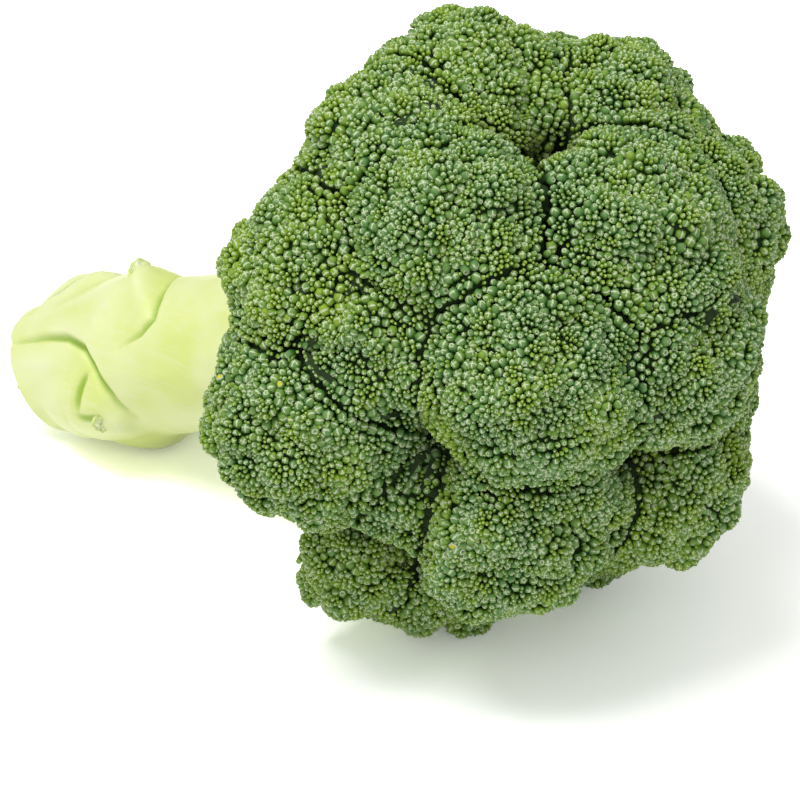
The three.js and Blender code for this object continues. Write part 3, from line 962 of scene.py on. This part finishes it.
def bud_shape(name, profile, sides, seams, ring_edges, tip, foot, tip_edge, petal=0.0):
    """One closed bud of radius 1 that points along +Z. Its profile is a list of (radius, height),
    seams are the sides where two sepals meet, and ring_edges how pale their edge is on each ring.
    Its flat pattern for baking is a disc: the tip in the middle, the foot as the rim."""
    places, edge, height, petals, flat = [], [], [], [], []
    for ring, ((radius, level), pale) in enumerate(zip(profile, ring_edges)):
        for side in range(sides):
            angle = 2 * math.pi * (side + 0.5) / sides - math.pi
            at_seam = side in seams
            pinch = SEAM_PINCH if at_seam and ring > 0 else 1.0
            dip = SEAM_DIP if at_seam and ring == len(profile) - 1 else 0.0
            across, up = radius * pinch * math.cos(angle), radius * pinch * math.sin(angle)
            places.append((across, up, level - dip))
            edge.append(pale if at_seam or pale > 1 else 0.0)
            height.append(np.clip((level + 0.4) / (BUD_TIP + 0.4), 0, 1))
            petals.append(petal if ring == len(profile) - 1 else 0.0)
            flat.append((0.44 * (len(profile) - ring) / len(profile), angle))
    foot_at, tip_at = len(places), len(places) + 1
    places += [(0, 0, foot), (0, 0, tip)]
    edge += [0.0, tip_edge]
    height += [0.0, 1.0]
    petals += [0.0, petal]
    faces = woven(len(profile), sides)
    last = (len(profile) - 1) * sides
    for side in range(sides):
        after = (side + 1) % sides
        faces.append((after, side, foot_at))
        faces.append((last + side, last + after, tip_at))
    shape = new_piece(name, np.array(places) / MM, faces)
    mark(shape, "edge", np.minimum(edge, 1))
    mark(shape, "height", height)
    mark(shape, "petal", petals)
    out, angle = zip(*flat)
    spread_flat(shape, out + (0, 0), angle + (0, 0), foot_at, tip_at)
    return shape


ROUND = [(1.02, 0.28), (0.72, 1.02)]
PLUMP = [(0.9, -0.05), (1.02, 0.56), (0.6, 1.12)]
# The kinds of bud, in the order of their numbers.
bud_shapes = bpy.data.collections.new("bud_shapes")
for shape in (
    bud_shape("bud_0_young", [(1.0, 0.2), (0.74, 0.95)], 5, (0, 2), (0.0, 0.7), 1.3, -2.6, 1.0),
    bud_shape("bud_1_three_edges", ROUND, 6, (0, 2, 4), (0.3, 0.95), 1.3, -2.0, 1.0),
    bud_shape("bud_2_cross", PLUMP, 8, (0, 2, 4, 6), (0.0, 0.6, 1.0), 1.16, -1.5, 1.0),
    bud_shape("bud_3_slit", PLUMP, 6, (0, 3), (0.0, 0.6, 1.0), 1.14, -1.5, 1.0),
    bud_shape("bud_4_cupped", [(1.0, 0.35), (0.7, 1.06), (0.42, 1.14)], 6, (0, 2, 4),
              (0.2, 0.6, 1.1), 0.86, -1.5, 0.0),
    bud_shape("bud_5_opening", [(0.9, -0.1), (1.0, 0.55), (0.74, 1.12), (0.4, 1.1)], 6, (0, 2, 4),
              (0.0, 0.3, 1.1, 0.0), 1.3, -1.1, 0.0, 1.0),
):
    bpy.context.scene.collection.objects.unlink(shape)
    bud_shapes.objects.link(shape)

# The tree that seats the buds: one on every seat, of the seat's kind and size, leaning the
# seat's way and turned at random about its own axis.
budding_tree, bud_sockets, given = new_tree("seat_buds", {
    "Body": "Geometry", "Seats": "Object", "Bud shapes": "Collection", "Bud skin": "Material",
    "Bud size": "Float", "Turning seed": "Int"})
seats = add_node(budding_tree, "GeometryNodeObjectInfo", None, {
    "Object": given["Seats"]}).outputs["Geometry"]
shapes = add_node(budding_tree, "GeometryNodeCollectionInfo", None, {
    "Collection": given["Bud shapes"], "Separate Children": True, "Reset Children": True}).outputs[0]
upright = add_node(budding_tree, "FunctionNodeAlignRotationToVector", {"axis": "Z"}, {
    "Vector": held(budding_tree, "leaning", "FLOAT_VECTOR")}).outputs[0]
any_turn = add_node(budding_tree, "FunctionNodeRandomValue", {"data_type": "FLOAT"}, {
    2: 0.0, 3: 2 * math.pi, "Seed": given["Turning seed"]}).outputs[1]
own_turn = add_node(budding_tree, "FunctionNodeAxisAngleToRotation", None, {
    "Axis": (0, 0, 1), "Angle": any_turn}).outputs[0]
turned = add_node(budding_tree, "FunctionNodeRotateRotation", {"rotation_space": "LOCAL"}, {
    "Rotation": upright, "Rotate By": own_turn}).outputs[0]
sized = add_node(budding_tree, "ShaderNodeVectorMath", {"operation": "SCALE"}, {
    0: held(budding_tree, "width", "FLOAT_VECTOR"), "Scale": given["Bud size"]}).outputs[0]
seated = add_node(budding_tree, "GeometryNodeInstanceOnPoints", None, {
    "Points": seats, "Instance": shapes, "Pick Instance": True,
    "Instance Index": held(budding_tree, "kind", "INT"), "Rotation": turned, "Scale": sized}).outputs[0]
real = add_node(budding_tree, "GeometryNodeRealizeInstances", None, {"Geometry": seated}).outputs[0]
skinned = add_node(budding_tree, "GeometryNodeSetMaterial", None, {
    "Geometry": real, "Material": given["Bud skin"]}).outputs[0]
joined = add_node(budding_tree, "GeometryNodeJoinGeometry")
budding_tree.links.new(skinned, joined.inputs[0])
budding_tree.links.new(given["Body"], joined.inputs[0])
add_node(budding_tree, "NodeGroupOutput", None, {0: joined.outputs[0]})

# Broccoli bud skin, grown: green sepals under a matt blue-grey bloom of wax, with thin edges that
# are almost white. Towards its foot each bud is a darker green, partly its own yellow-green and partly
# painted shade where the buds crowd together.
bud_skin, tree = new_finish("bud_skin_waxy_bloom")
height, bloom = attribute(tree, "height"), attribute(tree, "bloom")
side_green = laid_over(tree, bloom, "#93b532", "#427c30")
# The foot's darker green is partly painted shade between the crowded buds.
foot_green_and_painted_shade = laid_over(tree, bloom, "#648f26", "#2b5420")
green = laid_over(tree, eased(tree, height, 0.1, 0.75), foot_green_and_painted_shade, side_green)
# The bloom lies in flecks on the upper half of a bud.
waxed = reckoned(tree, "MULTIPLY", eased(tree, height, 0.35, 1.0), bloom)
flecked = reckoned(tree, "MULTIPLY", reckoned(tree, "MULTIPLY", waxed, patches(tree, 0.9, 2.0)), 1.05)
bloomed = laid_over(tree, flecked, green, "#9bbd72")
frayed = reckoned(tree, "MULTIPLY_ADD", patches(tree, 0.35, 1.0), 0.7, attribute(tree, "edge"))
edged = laid_over(tree, eased(tree, frayed, 0.93, 1.22, 0.92), bloomed, "#dde9c2")
flowering = laid_over(tree, attribute(tree, "petal"), edged, "#eee21c")
# Painted shade: buds with little open sky round them, down in the crevices, are darkened to a deeper
# green.
painted_crevice_shade = add_node(tree, "ShaderNodeMapRange", None, {
    "Value": attribute(tree, "air"), "From Min": 0.1, "From Max": 0.75, "To Min": 0.4, "To Max": 0.86,
}).outputs[0]
bud_colour = add_node(tree, "ShaderNodeMix", {"data_type": "RGBA", "blend_type": "MULTIPLY"}, {
    0: 1.0, 6: flowering, 7: painted_crevice_shade,
}).outputs[2]
surfaced(tree, bud_colour, 0.54, 1.42)


def strewn(floret, draw):
    """Tries all over a floret: where, their normals, and how open and how high up they lie."""
    places, normals = floret["outside"], floret["normals"]
    a, b, c = (places[ball_faces[:, i]] for i in range(3))
    areas = np.linalg.norm(np.cross(b - a, c - a), axis=1) / 2
    wanted = (floret["air"][ball_faces].max(1) > 0.1) & (floret["up"][ball_faces].max(1) > LOWEST_BUD)
    areas = areas * wanted
    count = int(areas.sum() * TRIES_PER_MM2)
    corners = ball_faces[draw.choice(len(ball_faces), count, p=areas / areas.sum())]
    u, v = draw.uniform(size=(2, count))
    over = u + v > 1
    u, v = np.where(over, 1 - u, u), np.where(over, 1 - v, v)
    shares = np.stack([1 - u - v, u, v], 1)
    return ((places[corners] * shares[:, :, None]).sum(1),
            unit((normals[corners] * shares[:, :, None]).sum(1)),
            (floret["air"][corners] * shares).sum(1), (floret["up"][corners] * shares).sum(1))


def bud_radii(at, floret, draw):
    """Small in the middle of a rosette and large at its edge."""
    away, _, which = off_centres(at, floret["rosettes"])
    rim = np.clip(away / (0.56 * ROSETTE_SPACING), 0, 1)
    finer = FINER if floret["heart"][0] > crown_centre[0] + FINER_SIDE else 1.0
    radius = SMALLEST_BUD + (LARGEST_BUD - SMALLEST_BUD) * rim ** 1.1
    radius *= floret["rosette_size"][which] * finer * draw.uniform(*UNLIKE, len(at))
    return np.clip(radius * (0.93 + 0.17 * uneven(at, 22, 8)), FINEST_BUD, STOUTEST_BUD)


def room_beside(seated_buds, at, over_border, floret):
    """How far each place lies from the buds that the neighbours already have."""
    room = np.full(len(at), 1e9)
    border = np.flatnonzero(over_border > -4)
    for others, sizes in seated_buds:
        close = beyond(others, floret) < 6
        for place, size in zip(others[close], sizes[close]):
            away = np.sqrt(((at[border] - place) ** 2).sum(1)) - size * TOUCHING
            room[border] = np.minimum(room[border], away)
    return room


def seats_taken(at, radius, allowed, room, draw):
    """Which places get a bud: first the large ones, then what still fits into the gaps."""
    taken = []
    for filling in (False, True):
        for i in np.argsort(-radius * draw.uniform(0.8, 1.0, len(at))):
            if not allowed[i]:
                continue
            if filling:
                radius[i] = min(radius[i], room[i] / TOUCHING)
            if radius[i] >= FINEST_BUD and room[i] >= radius[i] * TOUCHING:
                taken.append(i)
                allowed[i] = False
                away = np.sqrt(((at - at[i]) ** 2).sum(1))
                room = np.minimum(room, away - radius[i] * TOUCHING)
    return np.array(taken)


def kinds_of(radius, draw):
    """The kind of each bud: it goes by size, and a few large ones are cupped or opening."""
    pick = draw.uniform(size=len(radius))
    kind = np.where(radius < YOUNG, 0, np.where(radius < THREE_EDGED, 1, 2))
    kind = np.where((kind == 2) & (pick > 1 - SLIT_SHARE), 3, kind)
    kind = np.where((radius > CUPPED_FROM) & (pick < CUPPED_SHARE), 4, kind)
    return np.where((radius > OPENING_FROM) & (pick > 1 - OPENING_SHARE), 5, kind)


seated_buds = []
for name, floret in florets.items():
    draw = np.random.default_rng(500 + floret["number"])
    at, normal, air, up = strewn(floret, draw)
    radius = bud_radii(at, floret, draw)
    over_border = beyond(at, floret) - np.array([beyond(at, other) for other in floret["near"]]).min(0)
    allowed = (over_border < 1.0) & (air > 0.14)
    allowed &= up > LOWEST_BUD + 0.1 * uneven(at, 7, floret["number"])
    room = room_beside(seated_buds, at, over_border, floret)
    taken = seats_taken(at, radius, allowed, room, draw)
    at, normal, radius, air, up = at[taken], normal[taken], radius[taken], air[taken], up[taken]
    seated_buds.append((at, radius))
    leaning_out = []
    for centres in (floret["rosettes"], floret["bunches"]):
        way = off_centres(at, centres)[1]
        leaning_out.append(way - normal * (way * normal).sum(1)[:, None])
    lean = unit(normal + LEAN_OUT * leaning_out[0] + 0.03 * leaning_out[1]
                + LEAN_ANY * draw.normal(size=normal.shape))
    stretch = draw.uniform(*LONGEST, len(at))
    depth = sunken(at, floret) * shallow(over_border[taken]) + draw.uniform(0, 0.3, len(at))
    upright = (lean * normal).sum(1)[:, None]
    seat = at - depth[:, None] * normal - (BUD_TIP * stretch * radius)[:, None] * upright * normal
    seat -= (0.55 * stretch * radius)[:, None] * (lean - upright * normal)
    kind = kinds_of(radius, draw)
    width = np.stack([radius, radius * draw.uniform(0.84, 1.0, len(at)), radius * stretch], 1)
    bloom = BLOOM + BLOOM_OF_LARGE * ramp(radius, 0.4, 1.05) + BLOOM_PATCHES * uneven(at, 18, 7)
    bloom += BLOOM_UNLIKE * draw.normal(size=len(at))
    bloom -= BLOOM_LOST_LOW * ramp(-up, -0.25, 0.4) + YOUNGER.get(name, 0)
    # Each bud has its own cell of the bake's map, and the body the large cell in the corner.
    cells = int(math.ceil(math.sqrt(len(at) * 1.12))) + 1
    body_cells = max(2, cells // 4)
    cell = [(x / cells, y / cells, 1 / cells) for y in range(cells) for x in range(cells)
            if x >= body_cells or y >= body_cells][:len(at)]
    seats = new_piece("seats_" + name, seat, [])
    mark(seats, "kind", kind, "INT")
    mark(seats, "leaning", lean, "FLOAT_VECTOR")
    mark(seats, "width", width * MM, "FLOAT_VECTOR")
    mark(seats, "bloom", np.clip(bloom, 0, 1))
    # How much open sky each bud has, which sets the painted crevice shade.
    mark(seats, "air", air)
    mark(seats, "cell", cell, "FLOAT_VECTOR")
    grow(floret["body"], budding_tree, bud_sockets, {
        "Seats": seats, "Bud shapes": bud_shapes, "Bud skin": bud_skin, "Bud size": SWELLING,
        "Turning seed": floret["number"]})
    floret["seats"], floret["cells"] = seats, body_cells / cells

keep_grown([floret["body"] for floret in florets.values()])
for name, floret in florets.items():
    body = floret["body"]
    mesh = body.data
    of_loop = np.empty(len(mesh.loops), int)
    mesh.loops.foreach_get("vertex_index", of_loop)
    cells = np.empty(len(mesh.vertices) * 3)
    mesh.attributes["cell"].data.foreach_get("vector", cells)
    cells = cells.reshape(-1, 3)
    cells[cells[:, 2] == 0] = (0, 0, floret["cells"])
    flat = np.empty(len(mesh.loops) * 2)
    mesh.uv_layers["OFBake"].data.foreach_get("uv", flat)
    flat = cells[of_loop, :2] + flat.reshape(-1, 2) * cells[of_loop, 2:]
    mesh.uv_layers["OFBake"].data.foreach_set("uv", flat.ravel())
    bpy.data.objects.remove(floret["seats"])
    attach(body, "root")
    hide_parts("floret_" + name)
for shape in list(bud_shapes.objects):
    bpy.data.objects.remove(shape)
bpy.data.collections.remove(bud_shapes)


# ---- The stage: table, light and camera --------------------------------------------------
# A plain white table under soft light that comes mostly from above and from the left.

CAMERA_TURN = math.radians(-51.3)
CAMERA_RISE = math.radians(30.0)
CAMERA_AWAY = 800.0                 # mm from the crown's centre
CAMERA_LENS = 161.4
AIM_ASIDE = 17.1                    # mm: the camera looks this far left of the crown's centre
AIM_BELOW = 17.0                    # and this far below it

TABLE_GLARE = 1.75                  # the table is seen overexposed, but lights like plain white
GLOW_FROM, GLOW_TO = 110, 260       # mm from its middle, where it begins to look whiter and ends
NEAR_GLOW, FAR_GLOW = 0.1, 0.6
ROOM_LIGHT = 0.46

table_finish, tree = new_finish("table_plain_white")
ray = add_node(tree, "ShaderNodeLightPath").outputs
seen_ray = reckoned(tree, "MAXIMUM", ray["Is Camera Ray"], ray["Is Glossy Ray"])
seen_ray = reckoned(tree, "MAXIMUM", seen_ray, ray["Is Transmission Ray"])
white = add_node(tree, "ShaderNodeBsdfDiffuse", None, {"Color": linear("#f0f0f0")}).outputs[0]
dazzling = add_node(tree, "ShaderNodeBsdfDiffuse", None, {
    "Color": (TABLE_GLARE,) * 3 + (1,)}).outputs[0]
places = add_node(tree, "ShaderNodeTexCoord").outputs["Object"]
away = add_node(tree, "ShaderNodeVectorMath", {"operation": "LENGTH"}, {0: places}).outputs["Value"]
brighter = add_node(tree, "ShaderNodeMapRange", {"interpolation_type": "SMOOTHSTEP"}, {
    "Value": away, "From Min": GLOW_FROM * MM, "From Max": GLOW_TO * MM,
    "To Min": NEAR_GLOW, "To Max": FAR_GLOW,
}).outputs[0]
glow = add_node(tree, "ShaderNodeEmission", None, {"Strength": brighter}).outputs[0]
seen_table = add_node(tree, "ShaderNodeAddShader", None, {0: dazzling, 1: glow}).outputs[0]
both = add_node(tree, "ShaderNodeMixShader", None, {0: seen_ray, 1: white, 2: seen_table}).outputs[0]
add_node(tree, "ShaderNodeOutputMaterial", None, {"Surface": both})
TABLE_HALF = 2500.0                 # mm
table = new_piece("table", [
    (x * TABLE_HALF, y * TABLE_HALF, cad_low.z / MM) for x, y in ((-1, -1), (1, -1), (1, 1), (-1, 1))
], [(0, 1, 2, 3)], [table_finish])
table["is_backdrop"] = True

world = bpy.data.worlds.new("soft_room")
bpy.context.scene.world = world
world.use_nodes = True
world.node_tree.nodes.clear()
sky = add_node(world.node_tree, "ShaderNodeBackground", None, {
    "Color": linear("#ffffff"), "Strength": ROOM_LIGHT}).outputs[0]
backdrop = add_node(world.node_tree, "ShaderNodeBackground", None, {
    "Color": linear("#ffffff"), "Strength": 1.0}).outputs[0]
ray = add_node(world.node_tree, "ShaderNodeLightPath").outputs
seen = add_node(world.node_tree, "ShaderNodeMixShader", None, {
    0: ray["Is Camera Ray"], 1: sky, 2: backdrop}).outputs[0]
add_node(world.node_tree, "ShaderNodeOutputWorld", None, {"Surface": seen})


def soft_lamp(name, turn, rise, away, size, power):
    """A square lamp that faces the crown, given by its direction from it."""
    lamp = bpy.data.lights.new(name, "AREA")
    lamp.shape = "SQUARE"
    lamp.size = size
    lamp.energy = power
    holder = bpy.data.objects.new(name, lamp)
    turn, rise = math.radians(turn), math.radians(rise)
    out = Vector((math.sin(turn) * math.cos(rise), -math.cos(turn) * math.cos(rise), math.sin(rise)))
    holder.location = Vector(crown_centre * MM) + out * away
    holder.rotation_euler = out.to_track_quat("Z", "Y").to_euler()
    bpy.context.scene.collection.objects.link(holder)


soft_lamp("key_lamp", turn=-112, rise=70, away=1.0, size=0.5, power=6.3)
soft_lamp("fill_lamp", turn=-45, rise=32, away=1.3, size=0.8, power=2.2)

right = np.array([math.cos(CAMERA_TURN), math.sin(CAMERA_TURN), 0])
back = np.array([math.sin(CAMERA_TURN) * math.cos(CAMERA_RISE),
                 -math.cos(CAMERA_TURN) * math.cos(CAMERA_RISE), math.sin(CAMERA_RISE)])
up_in_view = np.cross(back, right)
stand = crown_centre + back * CAMERA_AWAY - right * AIM_ASIDE - up_in_view * AIM_BELOW
lens = bpy.data.cameras.new("camera")
lens.lens = CAMERA_LENS
lens.sensor_width = 36
lens.clip_end = 20
camera = bpy.data.objects.new("camera", lens)
camera.matrix_world = Matrix.Translation(stand * MM) @ Matrix(
    np.stack([right, up_in_view, back], 1).tolist()).to_4x4()
bpy.context.scene.collection.objects.link(camera)
bpy.context.scene.camera = camera
bpy.context.scene.view_settings.view_transform = "Standard"


# ---- The size of the whole ---------------------------------------------------------------
# The buds' tips stand up to a millimetre out of the box of the plain solids they stand for.

low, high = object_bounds()
